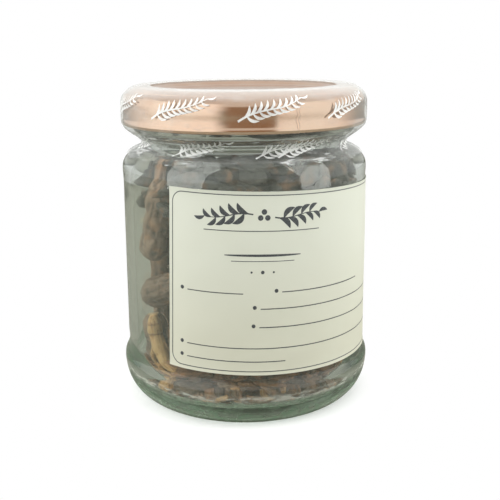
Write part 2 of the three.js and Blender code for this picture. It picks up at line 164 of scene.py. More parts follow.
def flowing(points, gap):  # a smooth line through points, with one about every gap
    spots = np.array(points, float)
    steps = np.diff(spots, axis=0)
    lengths = np.linalg.norm(steps, axis=1, keepdims=True)
    ways = steps / lengths
    turns = np.vstack([ways[:1], ways[:-1] * lengths[1:] + ways[1:] * lengths[:-1], ways[-1:]])
    turns /= np.linalg.norm(turns, axis=1, keepdims=True)
    line = []
    for k, length in enumerate(lengths[:, 0]):
        t = np.linspace(0, 1, max(2, math.ceil(length / gap) + 1))[:-1, None]
        start = (2 * t ** 3 - 3 * t ** 2 + 1) * spots[k] + (t ** 3 - 2 * t ** 2 + t) * turns[k] * length
        end = (3 * t ** 2 - 2 * t ** 3) * spots[k + 1] + (t ** 3 - t ** 2) * turns[k + 1] * length
        line.append(start + end)
    return np.vstack(line + [spots[-1:]])


def arc(centre, radius, fromDegrees, toDegrees, steps):
    angles = np.radians(np.linspace(fromDegrees, toDegrees, steps + 1))
    return [(centre[0] + radius * math.cos(a), centre[1] + radius * math.sin(a)) for a in angles]


def around(radius, angle, z):  # the front is angle 0, and the right side is a quarter turn
    return np.stack([radius * np.sin(angle), -radius * np.cos(angle), z * np.ones_like(radius)], axis=-1)


def meshPiece(name, points, faces, finish, smooth=True):
    mesh = bpy.data.meshes.new(name)
    mesh.from_pydata([tuple(p) for p in np.asarray(points) * mm], [], [tuple(f) for f in faces])
    body = bmesh.new()
    body.from_mesh(mesh)
    bmesh.ops.remove_doubles(body, verts=body.verts, dist=1e-6)
    bmesh.ops.recalc_face_normals(body, faces=body.faces)
    body.to_mesh(mesh)
    body.free()
    mesh.polygons.foreach_set("use_smooth", [smooth] * len(mesh.polygons))
    mesh.materials.append(finish)
    piece = bpy.data.objects.new(name, mesh)
    bpy.context.scene.collection.objects.link(piece)
    return piece


def gridFaces(columns, rows, wrapColumns=False, wrapRows=False):
    faces = []
    for i in range(columns if wrapColumns else columns - 1):
        for j in range(rows if wrapRows else rows - 1):
            nextI, nextJ = (i + 1) % columns, (j + 1) % rows
            faces.append((i * rows + j, nextI * rows + j, nextI * rows + nextJ, i * rows + nextJ))
    return faces


def turned(name, section, segments, finish, reshape=None):  # section: rows of radius, height
    line = np.array(section, float)
    loops = bool(np.allclose(line[0], line[-1]))
    if loops:
        line = line[:-1]
    angles = np.linspace(0, 2 * math.pi, segments, endpoint=False)
    angle = np.repeat(angles, len(line))
    radius = np.tile(line[:, 0], segments)
    z = np.tile(line[:, 1], segments)
    if reshape:
        radius = reshape(radius, z, angle)
    points = around(radius, angle, z)
    return meshPiece(name, points, gridFaces(segments, len(line), True, loops), finish)


def ribbonMesh(name, ribbons, place, finish):  # flat inked strokes: each is points and half widths
    points, faces = [], []
    for line, halfWidths in ribbons:
        line = np.array(line, float)
        halfWidths = np.broadcast_to(np.asarray(halfWidths, float), len(line))
        way = np.gradient(line, axis=0)
        way /= np.linalg.norm(way, axis=1, keepdims=True)
        side = np.stack([-way[:, 1], way[:, 0]], axis=1) * halfWidths[:, None]
        first = len(points)
        for left, right in zip(line + side, line - side):
            points += [left, right]
        for k in range(len(line) - 1):
            a = first + 2 * k
            faces.append((a, a + 1, a + 3, a + 2))
    flat = np.array(points)
    return meshPiece(name, place(flat[:, 0], flat[:, 1]), faces, finish, smooth=False)


def leafStroke(start, heading, length, width, steps=8):  # a pointed leaf as one stroke
    t = np.linspace(0, 1, steps + 1)
    bend = 0.18 * np.sin(math.pi * t)
    x = start[0] + length * (t * math.cos(heading) - bend * math.sin(heading))
    y = start[1] + length * (t * math.sin(heading) + bend * math.cos(heading))
    return np.stack([x, y], 1), width / 2 * np.sin(math.pi * np.clip(t, 0.03, 0.985)) ** 0.8


def sprigStrokes(centre, heading, length, leaves, leafLength, slim=0.36):  # a stem with leaves on both sides
    t = np.linspace(-0.5, 0.5, 22)
    wave = 0.05 * np.sin(t * 5)
    cosine, sine = math.cos(heading), math.sin(heading)
    stem = np.stack([
        centre[0] + length * (t * cosine - wave * sine),
        centre[1] + length * (t * sine + wave * cosine),
    ], 1)
    strokes = [(stem, length * 0.009 * (1.2 - t))]
    for k in range(leaves):
        at = stem[int(2 + k * 19 / leaves)]
        lean = heading + (0.75 if k % 2 else -0.75)
        reach = leafLength * (1 - 0.3 * k / leaves)
        strokes.append(leafStroke(at, lean, reach, reach * slim))
    strokes.append(leafStroke(stem[-1], heading + 0.1, leafLength * 0.7, leafLength * 0.7 * slim))
    return strokes


# The camera, fitted to the photograph
camera = {
    "standMetres": (0.0, -0.23983, 0.10577),
    "downDegrees": 11.327,
    "rollDegrees": -0.47,
    "lens": 57.44,
    "shift": (0.011, -0.1),
    "sensor": 36,
    "clipMetres": (0.01, 20),
}


def makeCamera():
    data = bpy.data.cameras.new("camera")
    data.lens = camera["lens"]
    data.sensor_width = camera["sensor"]
    data.shift_x, data.shift_y = camera["shift"]
    data.clip_start, data.clip_end = camera["clipMetres"]
    holder = bpy.data.objects.new("camera", data)
    bpy.context.scene.collection.objects.link(holder)
    holder.location = camera["standMetres"]
    down = math.radians(camera["downDegrees"])
    facing = Vector((0, math.cos(down), -math.sin(down)))
    turn = facing.to_track_quat("-Z", "Y").to_matrix().to_4x4()
    roll = Matrix.Rotation(math.radians(camera["rollDegrees"]), 4, "Z")
    holder.rotation_euler = (turn @ roll).to_euler()
    bpy.context.scene.camera = holder


makeCamera()
print("jar: camera")


# The glass jar
glass = {
    "segments": 144,
    "bodyRadius": 36.38,
    "floorTop": 5.6,
    "footRadius": 30.1,
    "lowerBead": 37.67,
    "beadHeight": 10.8,
    "mouthTop": 91.1,
    "threadRise": 1.35,  # how far a thread stands out
    "threads": 4,
    "threadLow": 84.9,
    "threadDegrees": 58,
    "threadClimb": 1.6,
    "threadHalf": 0.8,  # half a thread's height
    "threadZone": (82, 90),
    "tint": (0.97, 0.98, 0.965),
    "lampTint": (0.86, 0.9, 0.87),  # what is left of the light that reaches the roots
    "depthTint": (0.62, 0.76, 0.64),
    "depthDensity": 32.0,
    "milk": (0.45, 0.475, 0.405),
    "paintedHighlightTone": (0.72, 0.735, 0.66),
    "greenMilk": (0.275, 0.38, 0.275),
    "milkShares": (0.42, 0.045),  # in the base and in the wall
    "milkMetres": (0.004, 0.0085),  # heights between which the base gives way to the wall
    "paintedHighlightShare": 0.38,  # a painted highlight: the pale ring along the widest line of the base's bead
    "paintedHighlightMetres": (0.0078, 0.0092, 0.0098, 0.0112),  # heights where it starts, is full, weakens and ends
    "paintedHighlightRadii": (0.0364, 0.037),  # radii between which the painted highlight comes in
    "mottleShare": 0.3,  # the green cloud in the base
    "mottleMetres": (0.0068, 0.0086),  # heights between which it ends
    "waviness": 0.16,
    "sectionGap": 0.85,  # between points of the section
}
bodyRadius = glass["bodyRadius"]
heelTurns = np.radians(np.linspace(-75, 0, 9))
heelWidth = glass["lowerBead"] - glass["footRadius"]
heel = [
    (glass["footRadius"] + heelWidth * math.cos(t), glass["beadHeight"] * (1 + math.sin(t)))
    for t in heelTurns
]
glassOutside = [
    *heel, (glass["lowerBead"] - 0.12, 11.8), (36.95, 13.0), (bodyRadius + 0.04, 14.6),
    (bodyRadius, 20), (bodyRadius, 38), (bodyRadius, 58), (bodyRadius, 65.6),
    (36.43, 67.2), (36.52, 68.85), (36.33, 70.65), (35.4, 72.35), (33.9, 73.65), (31.2, 74.75),
    (30.3, 75.65), (30.1, 76.75), (30.5, 78.05), (32.1, 79.35), (32.95, 80.35), (33.0, 82), (33.0, 90.0),
]
glassInside = [
    (30.4, glass["floorTop"]), (32.0, 5.95), (33.1, 6.8), (33.65, 7.9), (33.8, 9.2),
    (33.8, 20), (33.8, 40), (33.8, 60), (33.8, 67.0), (33.1, 70.65), (30.9, 73.25),
    (28.5, 75.05), (28.1, 77.65), (29.8, 80.45), (30.6, 83.1), (30.6, 90.2),
]


def radiusAt(section, z):
    line = sorted(section, key=lambda spot: spot[1])
    return np.interp(z, [spot[1] for spot in line], [spot[0] for spot in line])


def glassFinish():
    finish = Finish("greenish glass")
    clear = finish.node("ShaderNodeBsdfPrincipled", None, {
        "Base Color": glass["tint"], "Roughness": 0.02, "IOR": 1.5, "Transmission Weight": 1.0,
    })
    lampsPass = finish.node("ShaderNodeBsdfTransparent", None, {"Color": glass["lampTint"]})
    shadowRay = finish.node("ShaderNodeLightPath", output=1)
    up = finish.height()
    low, high = glass["milkShares"]
    share = low - (low - high) * (up + 0.002 * finish.noise(9, 3)).above(*glass["milkMetres"])
    flat = finish.node("ShaderNodeVectorMath", {"operation": "MULTIPLY"}, {0: finish.place(), 1: (1, 1, 0)})
    radius = finish.node("ShaderNodeVectorMath", {"operation": "LENGTH"}, {0: flat}, output=1)
    streaks = finish.noise(5, 3, 0.6, stretch=(1, 1, 5))
    # painted highlight: a pale, broken ring round the base's bead, where the bead's highlight runs
    start, full, weaker, end = glass["paintedHighlightMetres"]
    ring = up.above(start, full) * (1 - up.above(weaker, end))
    ring = ring * radius.above(*glass["paintedHighlightRadii"]) * streaks.above(0.35, 0.6)
    mottle = finish.noise(3.5, 4, 0.65).above(0.42, 0.62) * (1 - up.above(*glass["mottleMetres"]))
    share = (share + glass["paintedHighlightShare"] * ring + glass["mottleShare"] * mottle).clamped()
    # the milk's tone, with the painted highlight ring and the green cloud mixed in
    tone = finish.mix(mottle, finish.mix(ring, glass["milk"], glass["paintedHighlightTone"]), glass["greenMilk"])
    milk = finish.node("ShaderNodeBsdfPrincipled", None, {
        "Base Color": tone, "Roughness": 0.9, "Specular IOR Level": 0.0,
    })
    depth = finish.node("ShaderNodeVolumeAbsorption", None, {
        "Color": glass["depthTint"], "Density": glass["depthDensity"],
    })
    return finish.output(finish.blend(shadowRay, finish.blend(share, clear, milk), lampsPass), depth)


def mouldedGlass():
    punt = [(0, 2.0), (10, 1.85), (19, 1.5), (25.0, 1.0), (27.4, 0.25), (28.2, 0.0), (29.6, 0.0)]
    rim = arc((31.8, glass["mouthTop"] - 1.05), 1.05, 10, 170, 6)
    floor = [(18, glass["floorTop"] - 0.3), (8, glass["floorTop"] - 0.4), (0, glass["floorTop"] - 0.4)]
    line = [*punt, *glassOutside, *rim, *glassInside[::-1], *floor]
    section = np.maximum(flowing(line, glass["sectionGap"]), 0)  # nothing dips below the floor
    lowThread, highThread = glass["threadZone"]

    def reshape(radius, z, angle):
        spots = around(np.full_like(radius, 2.2), angle, z * 0.035)
        inner = (radius < radiusAt(glassOutside, z) - 1.2) & (z > 3)
        low = np.clip((40 - z) / 30, 0.35, 1)
        made = radius + inner * np.clip(radius / 30, 0, 1) * glass["waviness"] * low * grain(spots, 3)
        for k in range(glass["threads"]):
            start = 2 * math.pi * k / glass["threads"]
            along = ((angle - start) % (2 * math.pi)) / math.radians(glass["threadDegrees"])
            centre = glass["threadLow"] + 0.65 + glass["threadClimb"] * along
            ridge = np.clip(1 - ((z - centre) / glass["threadHalf"]) ** 2, 0, 1) ** 0.6
            ends = np.clip(np.minimum(along, 1 - along) * 9, 0, 1)
            rise = np.where(radius > 32.5, glass["threadRise"] * ridge * ends, 0)
            made += rise * (z > lowThread) * (z < highThread)
        return made

    piece = turned("jar_glass_fine", section, glass["segments"], glassFinish(), reshape)
    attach(piece, "root")
    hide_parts("jar_glass")


mouldedGlass()
print("jar: glass")


# The twist-off lid and its sealing ring
lid = {
    "segments": 192,
    "radius": 35.85,
    "copper": (0.85, 0.56, 0.40),
    "lacquer": (0.89, 0.63, 0.47),
    "specks": (0.45, 0.28, 0.2),
    "lugs": 4,
    "lugDegrees": 13,
    "firstLugDegrees": 38.5,
    "lugDepth": 0.75,
    "lugHeight": 82.75,
    "sealSegments": 160,
    "sealDark": (0.78, 0.72, 0.62),
    "sealLight": (0.88, 0.84, 0.76),
}


def copperFinish():
    finish = Finish("copper lacquer on tinplate")
    brushed = finish.noise(0.35, 4, 0.6, stretch=(0.12, 0.12, 1))
    cloudy = finish.noise(9, 2, 0.5)
    tone = finish.mix(cloudy.above(0.3, 0.7), lid["copper"], lid["lacquer"])
    specks = finish.noise(0.5, 2, 0.5).above(0.7, 0.78)
    tone = finish.mix(specks * 0.3, tone, lid["specks"])
    rough = 0.1 + 0.06 * cloudy + 0.04 * brushed
    normal = finish.bump(brushed + 0.4 * finish.noise(2.5, 2), 0.012, 0.25)
    metal = finish.node("ShaderNodeBsdfPrincipled", None, {
        "Base Color": tone, "Roughness": rough, "Metallic": 1.0, "Normal": normal,
        "Coat Weight": 0.1, "Coat Roughness": 0.12,
    })
    return finish.output(metal)


def stampedLid():
    outside = [
        (0, 91.5), (12, 91.5), (22, 91.5), (23.6, 91.5), (24.6, 91.72), (26.2, 92.32), (27.3, 92.55),
        (28.4, 92.6), (31.7, 92.6), (32.5, 92.45), (32.95, 92.05), (33.2, 91.62), (33.7, 91.46),
        (34.3, 91.25), (34.95, 90.8), (35.45, 90.1), (35.78, 89.1), (lid["radius"], 88.0),
        (lid["radius"], 84.3), (35.9, 83.65), (36.06, 83.05), (36.08, 82.45), (35.95, 82.05), (35.6, 81.82),
        (35.2, 81.82), (34.8, 82.05), (34.62, 82.55), (34.68, 83.15), (35.0, 83.65),
    ]
    inside = [
        (35.4, 84.5), (35.4, 88.1), (35.25, 89.1), (34.85, 90.1), (34.1, 90.75), (33.72, 91.1),
        (33.6, 91.7), (33.2, 92.02), (31.6, 92.15), (28.4, 92.15), (26.4, 91.8), (24.4, 91.2),
        (23.6, 91.02), (12, 91.02), (0, 91.02),
    ]

    def reshape(radius, z, angle):  # the curl is pressed in at the lugs
        made = radius.copy()
        for k in range(lid["lugs"]):
            middle = 2 * math.pi * k / lid["lugs"] + math.radians(lid["firstLugDegrees"])
            off = (angle - middle + math.pi) % (2 * math.pi) - math.pi
            near = np.clip(1 - (off / math.radians(lid["lugDegrees"] * 0.6)) ** 2, 0, 1) ** 0.5
            level = np.clip(1 - np.abs(z - lid["lugHeight"]), 0, 1)
            made -= near * lid["lugDepth"] * level * (radius < 35.3)
        return made

    piece = turned("lid_fine", flowing([*outside, *inside], 0.6), lid["segments"], copperFinish(), reshape)
    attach(piece, "root")
    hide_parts("lid")


def sealFinish():
    finish = Finish("sealing compound")
    mottle = finish.noise(1.2, 3)
    tone = finish.mix(mottle, lid["sealDark"], lid["sealLight"])
    soft = finish.node("ShaderNodeBsdfPrincipled", None, {
        "Base Color": tone, "Roughness": 0.55 + 0.2 * mottle, "Normal": finish.bump(mottle, 0.05),
    })
    return finish.output(soft)


def sealingRing():
    section = flowing([
        (30.9, 91.44), (31.1, 91.38), (32.75, 91.38), (32.94, 91.46), (32.94, 91.66),
        (32.75, 91.74), (31.1, 91.74), (30.9, 91.68), (30.9, 91.44),
    ], 0.3)
    piece = turned("lid_seal_fine", section, lid["sealSegments"], sealFinish())
    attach(piece, "root")
    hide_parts("lid_seal")


stampedLid()
sealingRing()
print("jar: lid")


# The clear shrink band
band = {
    "columns": 420,
    "rows": 92,
    "thickness": 0.06,
    "seamDegrees": 17,
    "lapDegrees": 7,
    "edgeWave": 0.9,
    "clear": (0.985, 0.99, 0.985),
    "gloss": (0.9, 0.91, 0.9),
    "neckMetres": (0.0795, 0.083),  # heights between which the painted highlight streaks of the neck end
    "rimMetres": (0.0895, 0.0925),  # heights between which the rim turns paler
    "measure": 36.0,  # the radius on which the print is laid out
    "sprigs": 9,  # in each row
    "sprigLean": -0.4,
    "sprigLength": 18,
    "sprigLeaves": 18,
    "leafLength": 3.5,
    "leafSlim": 0.24,
    "printLift": 0.03,
    "printWhite": (0.93, 0.93, 0.92),
    "creaseAt": 14.6,
    "creaseWidth": 0.06,
    # the colour of the painted shade along the crease
    "creaseShade": (0.4, 0.26, 0.18),
}
bandLine = flowing([
    (27.2, 92.95), (28.2, 93.14), (29.3, 93.22), (30.4, 93.2), (31.8, 93.16), (33.2, 92.74),
    (34.7, 91.7), (35.72, 90.7), (36.36, 89.3), (36.52, 87.2), (36.55, 83.9), (36.45, 82.4),
    (36.0, 81.35), (34.9, 80.35), (33.6, 79.3), (31.8, 78.1), (30.8, 76.95), (30.9, 76.0),
    (31.8, 75.25), (34.2, 74.2), (35.2, 73.4), (35.9, 72.65), (36.35, 71.85),
], 0.15)
bandRun = np.concatenate([[0], np.cumsum(np.linalg.norm(np.diff(bandLine, axis=0), axis=1))])


def runAt(z):  # how far down the band's section a height lies, in millimetres
    return np.interp(-z, -bandLine[:, 1], bandRun)


skirtRun, neckRun, lastRun = runAt(83.0), runAt(79.5), runAt(73.4)
printRows = [  # how far down each row of sprigs lies, how far round it starts, and the film's radius there
    {"run": skirtRun - 5.4, "start": 7.0, "radius": 36.0},
    {"run": neckRun + 3.3, "start": 18.0, "radius": 33.0},
]


def bandPlace(angle, run, lift=0.0):  # a point of the crinkled film
    angle, run = np.asarray(angle, float), np.asarray(run, float)
    radius = np.interp(run, bandRun, bandLine[:, 0])
    z = np.interp(run, bandRun, bandLine[:, 1])
    ways = [np.interp(run + 0.3, bandRun, side) - np.interp(run - 0.3, bandRun, side) for side in bandLine.T]
    way = np.stack(ways, axis=-1)
    way /= np.linalg.norm(way, axis=-1, keepdims=True)
    spots = around(np.full_like(run, band["measure"]), angle, run * 0)
    low = np.clip((run - skirtRun) / 3, 0, 1)
    onRim = np.clip(1 - run / 4.5, 0, 1)
    flat = spots + np.stack([run * 0, run * 0, run], -1)
    long = grain(flat * (0.11, 0.11, 0.7), 5) * 0.6 + grain(flat * (0.26, 0.26, 1.5), 6) * 0.3
    crease = (1 - 2.4 * np.abs(grain(flat * (0.2, 0.2, 0.95), 7))).clip(0) ** 2
    upright = grain(flat * (0.8, 0.8, 0.14), 8)
    inward = low * (0.16 - 0.2 * long - 0.2 * crease) + (1 - low) * 0.04 * (1 + upright)
    inward += onRim * (0.05 + 0.06 * grain(flat * (0.5, 0.5, 0.6), 9))
    off = np.degrees(angle) - band["seamDegrees"]
    off = (off + 180) % 360 - 180
    lap = np.clip(np.minimum(off, band["lapDegrees"] - off) * 2.5, 0, 1)
    inward = np.clip(inward, 0, 0.34) - 0.05 * lap - lift
    return around(radius + way[..., 1] * inward, angle, z - way[..., 0] * inward)


def filmFinish():
    finish = Finish("clear shrink film")
    facing = finish.node("ShaderNodeLayerWeight", None, {"Blend": 0.5}, output=1)
    haze = finish.noise(7, 4, 0.6, stretch=(1, 1, 2.2))
    streak = finish.noise(2.2, 3, 0.6, stretch=(0.25, 0.25, 2.0))
    clear = finish.node("ShaderNodeBsdfTransparent", None, {"Color": band["clear"]})
    gloss = finish.node("ShaderNodeBsdfPrincipled", None, {
        "Base Color": band["gloss"], "Roughness": 0.12 + 0.1 * haze, "Specular IOR Level": 1.0,
        "Normal": finish.bump(haze + 0.5 * streak, 0.12, 0.6),
    })
    up = finish.height()
    neckward = 1 - up.above(*band["neckMetres"])
    rimward = up.above(*band["rimMetres"])
    share = 0.02 + 0.32 * facing ** 3.0 + 0.06 * haze.above(0.5, 0.7)
    # painted highlight: pale streaks round the neck; the rim also turns paler
    share = share + 0.5 * streak.above(0.57, 0.68) * neckward + 0.14 * rimward
    return finish.output(finish.blend(share.clamped(), clear, gloss))


def inkFinish(name, colour, wear, thin=0.0):  # thin: the least that shows through
    finish = Finish(name)
    rubbed = finish.noise(0.5, 3, 0.6).above(0.45, 0.7)
    tone = finish.mix(rubbed * wear, colour, tuple(0.5 + 0.5 * c for c in colour))
    sockets = {"Base Color": tone, "Roughness": 0.45 + 0.1 * rubbed}
    ink = finish.node("ShaderNodeBsdfPrincipled", None, sockets)
    if not thin:
        return finish.output(ink)
    bare = finish.node("ShaderNodeBsdfTransparent")
    share = thin + 0.25 * finish.noise(6, 2).above(0.45, 0.65)
    return finish.output(finish.blend(share, ink, bare))


def shrinkBand():
    angles = np.linspace(0, 2 * math.pi, band["columns"], endpoint=False)
    shares = np.linspace(0, 1, band["rows"])
    ring = around(np.full_like(angles, 5.0), angles, angles * 0)
    ends = lastRun + band["edgeWave"] * grain(ring * 0.9, 11) + 0.4 * grain(ring * 3.1, 12)
    starts = 0.35 + 0.35 * grain(ring * 1.5, 13)
    angle = np.repeat(angles, band["rows"])
    run = (starts[:, None] + (ends - starts)[:, None] * shares).ravel()
    faces = gridFaces(band["columns"], band["rows"], True)
    piece = meshPiece("shrink_band_fine", bandPlace(angle, run), faces, filmFinish())
    skin = piece.modifiers.new("film thickness", "SOLIDIFY")
    skin.thickness = band["thickness"] * mm
    skin.offset = -1
    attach(piece, "root")
    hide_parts("shrink_band")


def printPlace(u, v):  # u runs round the band and v down it
    return bandPlace(u / band["measure"], v, band["printLift"])


def bandPrint():
    strokes = []
    spacing = 2 * math.pi * band["measure"] / band["sprigs"]
    for row in printRows:
        for k in range(band["sprigs"]):
            centre = (k * spacing + row["start"], row["run"])
            sprig = sprigStrokes(centre, band["sprigLean"], band["sprigLength"], band["sprigLeaves"],
                                 band["leafLength"], band["leafSlim"])
            for line, widths in sprig:
                across = line[:, 0] / row["radius"] * band["measure"]
                strokes.append((np.stack([across, line[:, 1]], 1), widths))
    white = inkFinish("white ink on film", band["printWhite"], 0.2, 0.12)
    piece = ribbonMesh("shrink_band_print", strokes, printPlace, white)
    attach(piece, "root")


def bandPaintedCrease():  # one crooked crease down the skirt, beside the seam, drawn as a thin line of painted shade
    down = np.linspace(skirtRun - 8.5, skirtRun + 0.6, 40)
    sway = np.stack([down * 0.5, down * 0, down * 0], 1)
    line = np.stack([band["creaseAt"] + 0.9 * grain(sway, 31), down], 1)
    finish = inkFinish("painted crease shade on the film", band["creaseShade"], 0.2, 0.3)
    piece = ribbonMesh("shrink_band_painted_crease", [(line, band["creaseWidth"])], printPlace, finish)
    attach(piece, "root")


shrinkBand()
bandPrint()
bandPaintedCrease()
print("jar: shrink band")


# The paper label
label = {
    "startDegrees": -33.0,
    "length": 101.6,
    "height": 50.8,
    "bottom": 16.5,
    "slope": -0.03,
    "thickness": 0.12,
    "columns": 121,
    "rows": 61,
    "cadRadius": 36.68,
    "lift": 0.09,
    "inkLift": 0.012,
    "margin": 1.0,
    "corner": 3.0,
    "line": 0.13,
    "paper": (0.715, 0.73, 0.64),
    "paperLow": (0.635, 0.628, 0.515),
    "blotch": (0.68, 0.69, 0.58),
    "fibre": (0.6, 0.6, 0.5),
    "ink": (0.055, 0.06, 0.065),
    "middle": 26.5,
    "berries": [  # place from the middle, height and radius of each dot
        (0, 45.4, 0.75), (-0.95, 43.8, 0.75), (0.95, 43.8, 0.75),
        (0, 29.0, 0.5), (-3, 29.0, 0.3), (3, 29.0, 0.3),
    ],
    "headRules": [  # left end, right end, height, half width, and whether it tapers
        (10.4, 42.6, 40.2, 0.12, False), (16.2, 37.0, 33.6, 0.34, True), (18.0, 35.2, 32.0, 0.1, False),
    ],
    "blanks": [  # left end, right end and height of each writing rule
        (4.2, 21.4, 23.0), (30.4, 60.5, 23.4), (24.6, 93.0, 18.8), (24.4, 93.0, 13.6),
        (4.2, 93.0, 7.6), (4.2, 33.5, 3.8),
    ],
}


def labelPlace(u, v, lift=0.0):  # u runs from the label's left end and v up from its bottom edge
    u, v = np.asarray(u, float), np.asarray(v, float)
    lean = label["slope"] * (label["height"] - v) / glass["bodyRadius"]
    angle = math.radians(label["startDegrees"]) + u / label["cadRadius"] + lean
    z = label["bottom"] + v + label["slope"] * glass["bodyRadius"] * angle
    under = np.maximum(radiusAt(glassOutside, z), glass["bodyRadius"])
    spots = np.stack([u * 0.09, v * 0.12, u * 0], -1).reshape(-1, 3)
    air = np.clip(grain(spots, 21).reshape(u.shape), 0, 1) * 0.1
    edge = np.minimum(np.minimum(u, label["length"] - u), np.minimum(v, label["height"] - v))
    curl = 0.12 * np.clip(1 - edge / 1.4, 0, 1) ** 2
    return around(under + label["lift"] + air + curl + lift, angle, z)


def paperFinish():
    finish = Finish("cream label paper")
    fibre = finish.noise(0.25, 5, 0.7)
    blotch = finish.noise(14, 3, 0.5)
    # the paper is darker towards the bottom
    tone = finish.mix(finish.height().above(0.016, 0.062), label["paperLow"], label["paper"])
    tone = finish.mix(0.35 * blotch.above(0.45, 0.8), tone, label["blotch"])
    tone = finish.mix(0.22 * fibre.above(0.5, 0.75), tone, label["fibre"])
    paper = finish.node("ShaderNodeBsdfPrincipled", None, {
        "Base Color": tone, "Roughness": 0.52 + 0.18 * fibre, "Specular IOR Level": 0.35,
        "Normal": finish.bump(fibre + 0.4 * blotch, 0.03, 0.5),
    })
    return finish.output(paper)


def borderStroke(inset):
    wide, tall, corner = label["length"] - 2 * inset, label["height"] - 2 * inset, label["corner"]
    corners = [
        (wide - corner, corner, -90), (wide - corner, tall - corner, 0),
        (corner, tall - corner, 90), (corner, corner, 180),
    ]
    line = []
    for x, y, start in corners:
        line += arc((x + inset, y + inset), corner, start, start + 90, 10)
    line.append(line[0])
    filled = [np.array(line[0])]
    for a, b in zip(line, line[1:]):
        count = max(1, math.ceil(math.dist(a, b) / 0.8))
        filled += [np.array(a) + (np.array(b) - a) * k / count for k in range(1, count + 1)]
    return np.array(filled), label["line"]


def ruleStroke(left, right, height, half, tapered=False):
    u = np.linspace(left, right, max(4, math.ceil((right - left) / 0.8)))
    shape = np.sin(math.pi * np.linspace(0.04, 0.96, len(u))) ** 0.5 if tapered else np.ones(len(u))
    return np.stack([u, np.full_like(u, height)], 1), half * shape


def dotStroke(u, v, radius):
    t = np.linspace(-1, 1, 9)
    return np.stack([u + radius * t, v + 0 * t], 1), radius * np.sqrt(np.clip(1 - t ** 2, 0.002, 1))


def labelPrint():
    strokes = [borderStroke(label["margin"])]
    centre = label["middle"]
    for side in (-1, 1):  # the garland at the head: a sprig each way from three berries
        heading = 0.0 if side > 0 else math.pi
        strokes += sprigStrokes((centre + side * 9.4, 44.3), heading, 13, 9, 4.2)
    for u, v, radius in label["berries"]:
        strokes.append(dotStroke(centre + u, v, radius))
    strokes += [ruleStroke(*rule) for rule in label["headRules"]]
    for left, right, height in label["blanks"]:
        strokes.append(dotStroke(left, height + 0.4, 0.55))
        strokes.append(ruleStroke(left + 1.6, right, height, 0.14))
    ink = inkFinish("dark label ink", label["ink"], 0.12)
    lift = label["thickness"] + label["inkLift"]
    piece = ribbonMesh("label_print", strokes, lambda u, v: labelPlace(u, v, lift), ink)
    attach(piece, "root")


def paperLabel():
    columns, rows = label["columns"], label["rows"]
    across, upward = np.linspace(0, label["length"], columns), np.linspace(0, label["height"], rows)
    u, v = np.meshgrid(across, upward, indexing="ij")
    outer = labelPlace(u, v, label["thickness"]).reshape(-1, 3)
    inner = labelPlace(u, v).reshape(-1, 3)
    count = columns * rows
    faces = gridFaces(columns, rows)
    faces += [tuple(count + k for k in face[::-1]) for face in faces]
    rim = list(range(rows)) + [i * rows + rows - 1 for i in range(1, columns)]
    rim += [(columns - 1) * rows + j for j in range(rows - 2, -1, -1)]
    rim += [i * rows for i in range(columns - 2, 0, -1)]
    faces += [(a, b, b + count, a + count) for a, b in zip(rim, rim[1:] + rim[:1])]
    piece = meshPiece("label_fine", np.vstack([outer, inner]), faces, paperFinish())
    piece.data.set_sharp_from_angle(angle=math.radians(50))
    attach(piece, "root")
    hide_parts("label")


paperLabel()
labelPrint()
print("jar: label")


# The dried roots
roots = {
    "voxel": {"whole_root": 0.4, "root_piece": 0.38, "cut_piece": 0.34, "rootlet": 0.26},
    "hiddenCoarser": 1.35,  # how much coarser all but the front roots are
    "easing": {"whole_root": 22, "root_piece": 20, "cut_piece": 5, "rootlet": 8},
    "fibres": {"whole_root": 14, "root_piece": 7, "cut_piece": 1, "rootlet": 7},
    "samples": 230,  # points of the skin from which the middle line is found
    "furrowDepth": 0.30,
    "ringDepth": 0.22,
    "lumpDepth": 0.42,
    "puffed": 0.12,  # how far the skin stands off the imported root
    "wallRadius": 33.4,
    "fibreSides": 5,
    "fibreSteps": 6,
    "fibreTop": 71,
    "bitStretch": ((1.2, 2.3), (0.45, 0.7), (0.35, 0.6)),  # how long, wide and thick loose bits are
    "orange": (0.42, 0.16, 0.04),
    "dust": (0.6, 0.48, 0.34),
    "coreDark": (0.34, 0.2, 0.09),
    "corePale": (0.72, 0.55, 0.31),
}
looseBits = {  # broken bits: tone, how many are tried, how large, and the zone by radius, degrees and height
    "root_crumbs": {
        "tone": "tan", "count": 150, "size": (0.3, 0.9), "radius": (4, 32.0), "degrees": (-180, 180),
        "height": (5.9, 9.5),
    },
    "root_chips_red": {
        "tone": "red", "count": 650, "size": (1.6, 3.6), "radius": (22, 32.4), "degrees": (-36, 110),
        "height": (6.4, 16),
    },
    "root_chips_low": {
        "tone": "dark", "count": 380, "size": (1.4, 3.0), "radius": (22, 32.2), "degrees": (-36, 110),
        "height": (6.4, 16),
    },
    "root_chips_tan": {
        "tone": "tan", "count": 260, "size": (1.0, 2.4), "radius": (26, 32.2), "degrees": (-60, 100),
        "height": (6.4, 11),
    },
    "root_chips_left": {
        "tone": "dark", "count": 300, "size": (1.4, 2.8), "radius": (16, 25), "degrees": (-72, -28),
        "height": (8, 66),
    },
    "root_chips_foot": {
        "tone": "red", "count": 160, "size": (1.2, 2.6), "radius": (22, 32.2), "degrees": (-100, -34),
        "height": (6.4, 9),
    },
    # the top and back chips get the painted shade tone, for the dark top of the jar
    "root_chips_top": {
        "tone": "shade", "count": 1500, "size": (1.8, 3.8), "radius": (19, 31.6), "degrees": (-36, 110),
        "height": (59, 73),
    },
    "root_chips_back": {
        "tone": "shade", "count": 700, "size": (1.8, 3.6), "radius": (6, 31), "degrees": (-180, 180),
        "height": (58, 71),
    },
    "root_ends_top": {
        "tone": "tan", "count": 50, "size": (0.8, 1.8), "radius": (26, 31.8), "degrees": (-30, 100),
        "height": (62, 68),
    },
}
firstBitSeed = 70
